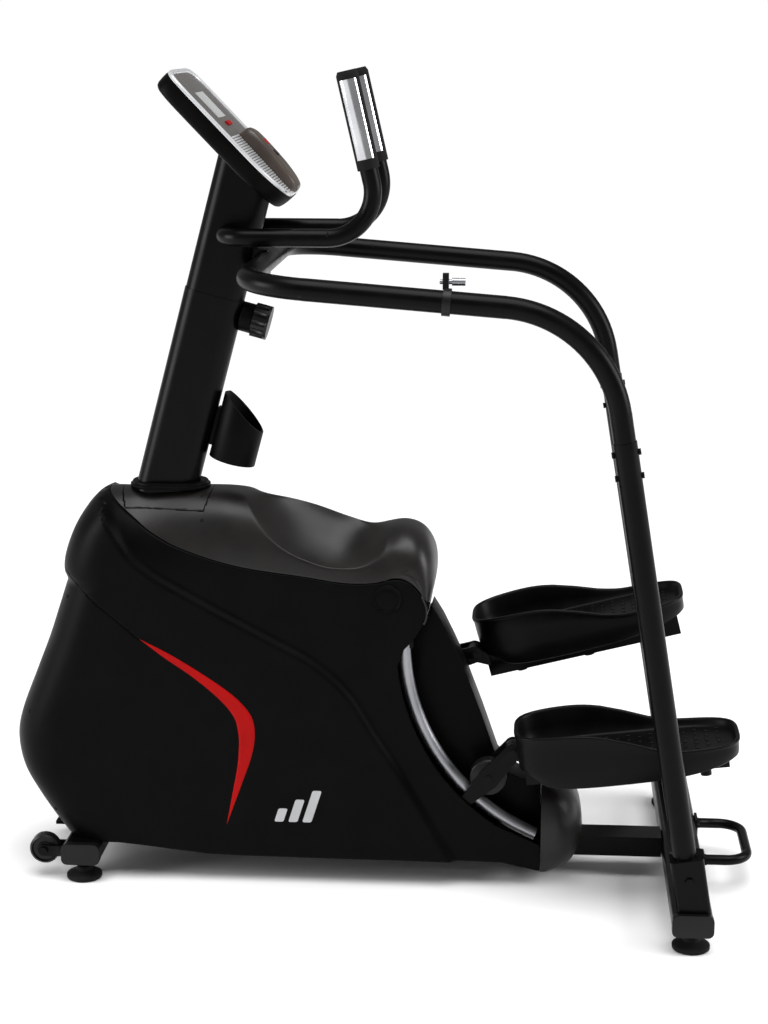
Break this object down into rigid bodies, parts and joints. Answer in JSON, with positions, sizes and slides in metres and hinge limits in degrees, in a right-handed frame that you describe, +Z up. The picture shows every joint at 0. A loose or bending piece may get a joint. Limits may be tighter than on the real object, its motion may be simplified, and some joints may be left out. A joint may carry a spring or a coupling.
{
  "type": "vertical climber machine",
  "caption": "Stair climber with two tray pedals on curved guide rails, a closed drive housing, a loop handrail, a fixed handlebar and a sloped console.",
  "frame": {"origin": "on the floor, in the middle of the machine's overall length and width", "axes": "+Z up; +X from the housing's nose towards the user; +Y towards the right hand of a user who faces the console"},
  "size_m": [1.384, 0.776, 1.4877],
  "materials": {
    "frame_steel": "satin",
    "cover_plastic": "fine texture",
    "saddle_plastic": "satin",
    "fairing_plastic": "fine texture",
    "pedal_plastic": "moulded grip",
    "trim_plastic": "satin",
    "roller_plastic": "satin",
    "foot_rubber": "matt",
    "bare_steel": "brushed",
    "sensor_steel": "polished",
    "flywheel_iron": "turned",
    "belt_rubber": "ribbed",
    "bezel_silver": "silver paint",
    "console_grey": "satin",
    "pod_grey": "satin",
    "display_glass": "clear window over a display",
    "red_plastic": "red"
  },
  "bodies": {
    "frame": {"main_frame": "frame_steel", "drive_bracket": "frame_steel", "front_stabilizer": "frame_steel", "rear_stabilizer": "frame_steel", "lift_handle": "frame_steel", "upright_left": "frame_steel", "upright_right": "frame_steel", "handrail": "frame_steel", "mast_lower": "frame_steel", "mast_upper": "frame_steel", "handrail_bracket": "frame_steel", "handlebar": "frame_steel", "frame_bolts": "frame_steel", "left_side_cover": "cover_plastic", "right_side_cover": "cover_plastic", "column_cover": "cover_plastic", "mast_collar": "cover_plastic", "bottle_holder": "cover_plastic", "console_back": "cover_plastic", "dial_base": "cover_plastic", "saddle_cover": "saddle_plastic", "access_panel": "saddle_plastic", "rear_fairing": "fairing_plastic", "stabilizer_caps": "trim_plastic", "accessory_clamp": "trim_plastic", "handlebar_grips": "foot_rubber", "guide_rails": "bare_steel", "pulse_sensors": "sensor_steel", "drive_belt": "belt_rubber", "console_bezel": "bezel_silver", "console_face": "console_grey", "console_pod": "pod_grey", "console_display": "display_glass", "accent_stripes": "red_plastic"},
    "left_carriage": {"left_carriage": "frame_steel"},
    "right_carriage": {"right_carriage": "frame_steel"},
    "left_pedal": {"left_pedal": "pedal_plastic", "left_pedal_arm": "frame_steel"},
    "right_pedal": {"right_pedal": "pedal_plastic", "right_pedal_arm": "frame_steel"},
    "left_roller": {"left_roller": "roller_plastic"},
    "right_roller": {"right_roller": "roller_plastic"},
    "left_guide_roller": {"left_guide_roller": "roller_plastic"},
    "right_guide_roller": {"right_guide_roller": "roller_plastic"},
    "wheel_left": {"wheel_left": "roller_plastic"},
    "wheel_right": {"wheel_right": "roller_plastic"},
    "foot_front_left": {"foot_front_left": "foot_rubber"},
    "foot_front_right": {"foot_front_right": "foot_rubber"},
    "foot_rear_left": {"foot_rear_left": "foot_rubber"},
    "foot_rear_right": {"foot_rear_right": "foot_rubber"},
    "resistance_dial": {"resistance_dial": "trim_plastic"},
    "brake_arm": {"brake_arm": "bare_steel"},
    "flywheel": {"flywheel": "flywheel_iron"},
    "drive_shaft": {"drive_shaft": "bare_steel"},
    "clamp_screw": {"clamp_screw": "bare_steel"},
    "key_left": {"key_left": "red_plastic"},
    "key_middle": {"key_middle": "red_plastic"},
    "key_right": {"key_right": "red_plastic"},
    "start_key": {"start_key": "red_plastic"},
    "select_key": {"select_key": "trim_plastic"}
  },
  "joints": [
    {"name": "left_carriage_travel", "type": "hinge", "parent": "frame", "child": "left_carriage", "pos_m": [0.445, -0.08, 0.465], "axis": [0, 1, 0], "range_deg": [0, 32]},
    {"name": "right_carriage_travel", "type": "hinge", "parent": "frame", "child": "right_carriage", "pos_m": [0.445, 0.08, 0.465], "axis": [0, 1, 0], "range_deg": [-32, 0]},
    {"name": "left_pedal_tilt", "type": "hinge", "parent": "left_carriage", "child": "left_pedal", "pos_m": [0.24609, -0.08, 0.26188], "axis": [0, 1, 0], "range_deg": [-39.5, 0]},
    {"name": "right_pedal_tilt", "type": "hinge", "parent": "right_carriage", "child": "right_pedal", "pos_m": [0.16867, 0.08, 0.39815], "axis": [0, 1, 0], "range_deg": [0, 39.5]},
    {"name": "left_roller_spin", "type": "hinge", "parent": "left_carriage", "child": "left_roller", "pos_m": [0.20167, -0.08, 0.20858], "axis": [0, 1, 0], "continuous": true},
    {"name": "left_guide_roller_spin", "type": "hinge", "parent": "left_carriage", "child": "left_guide_roller", "pos_m": [0.15348, -0.08, 0.1578], "axis": [0, 1, 0], "continuous": true},
    {"name": "right_roller_spin", "type": "hinge", "parent": "right_carriage", "child": "right_roller", "pos_m": [0.10276, 0.08, 0.37649], "axis": [0, 1, 0], "continuous": true},
    {"name": "right_guide_roller_spin", "type": "hinge", "parent": "right_carriage", "child": "right_guide_roller", "pos_m": [0.03499, 0.08, 0.35896], "axis": [0, 1, 0], "continuous": true},
    {"name": "foot_front_left_turn", "type": "hinge", "parent": "frame", "child": "foot_front_left", "pos_m": [-0.554, -0.112, 0], "axis": [0, 0, 1], "continuous": true},
    {"name": "foot_front_right_turn", "type": "hinge", "parent": "frame", "child": "foot_front_right", "pos_m": [-0.554, 0.112, 0], "axis": [0, 0, 1], "continuous": true},
    {"name": "foot_rear_left_turn", "type": "hinge", "parent": "frame", "child": "foot_rear_left", "pos_m": [0.561, -0.347, 0], "axis": [0, 0, 1], "continuous": true},
    {"name": "foot_rear_right_turn", "type": "hinge", "parent": "frame", "child": "foot_rear_right", "pos_m": [0.561, 0.347, 0], "axis": [0, 0, 1], "continuous": true},
    {"name": "wheel_left_spin", "type": "hinge", "parent": "frame", "child": "wheel_left", "pos_m": [-0.626, -0.113, 0.057], "axis": [0, 1, 0], "continuous": true},
    {"name": "wheel_right_spin", "type": "hinge", "parent": "frame", "child": "wheel_right", "pos_m": [-0.626, 0.113, 0.057], "axis": [0, 1, 0], "continuous": true},
    {"name": "resistance_dial_turn", "type": "hinge", "parent": "frame", "child": "resistance_dial", "pos_m": [-0.25643, 0, 1.04699], "axis": [0.9659, 0, -0.2588], "range_deg": [0, 300]},
    {"name": "brake_arm_swing", "type": "hinge", "parent": "frame", "child": "brake_arm", "pos_m": [-0.312, 0, 0.391], "axis": [0, 1, 0], "range_deg": [0, 8]},
    {"name": "flywheel_spin", "type": "hinge", "parent": "frame", "child": "flywheel", "pos_m": [-0.262, 0, 0.272], "axis": [0, 1, 0], "continuous": true},
    {"name": "drive_shaft_spin", "type": "hinge", "parent": "frame", "child": "drive_shaft", "pos_m": [-0.095, 0, 0.47], "axis": [0, 1, 0], "continuous": true},
    {"name": "clamp_screw_turn", "type": "hinge", "parent": "frame", "child": "clamp_screw", "pos_m": [0.13, -0.335, 1.15125], "axis": [1, 0, 0], "continuous": true},
    {"name": "key_left_press", "type": "slide", "parent": "frame", "child": "key_left", "axis": [-0.7206, 0, -0.6934], "range_m": [0, 0.0015], "stiffness_N_per_m": 400},
    {"name": "key_middle_press", "type": "slide", "parent": "frame", "child": "key_middle", "axis": [-0.7206, 0, -0.6934], "range_m": [0, 0.0015], "stiffness_N_per_m": 400},
    {"name": "key_right_press", "type": "slide", "parent": "frame", "child": "key_right", "axis": [-0.7206, 0, -0.6934], "range_m": [0, 0.0015], "stiffness_N_per_m": 400},
    {"name": "start_key_press", "type": "slide", "parent": "frame", "child": "start_key", "axis": [-0.7206, 0, -0.6934], "range_m": [0, 0.0015], "stiffness_N_per_m": 400},
    {"name": "select_key_press", "type": "slide", "parent": "frame", "child": "select_key", "axis": [-0.7206, 0, -0.6934], "range_m": [0, 0.0015], "stiffness_N_per_m": 400}
  ],
  "couplings": [
    {"joint": "right_carriage_travel", "follows": "left_carriage_travel", "ratio": -1},
    {"joint": "left_pedal_tilt", "follows": "left_carriage_travel", "ratio": -1.2344},
    {"joint": "right_pedal_tilt", "follows": "left_carriage_travel", "ratio": 1.2344},
    {"joint": "left_roller_spin", "follows": "left_carriage_travel", "ratio": -11.412},
    {"joint": "right_roller_spin", "follows": "left_carriage_travel", "ratio": 11.412},
    {"joint": "left_guide_roller_spin", "follows": "left_carriage_travel", "ratio": 37.455},
    {"joint": "right_guide_roller_spin", "follows": "left_carriage_travel", "ratio": -37.455},
    {"joint": "brake_arm_swing", "follows": "resistance_dial_turn", "ratio": 0.026666},
    {"joint": "drive_shaft_spin", "follows": "flywheel_spin", "ratio": 0.21053}
  ]
}
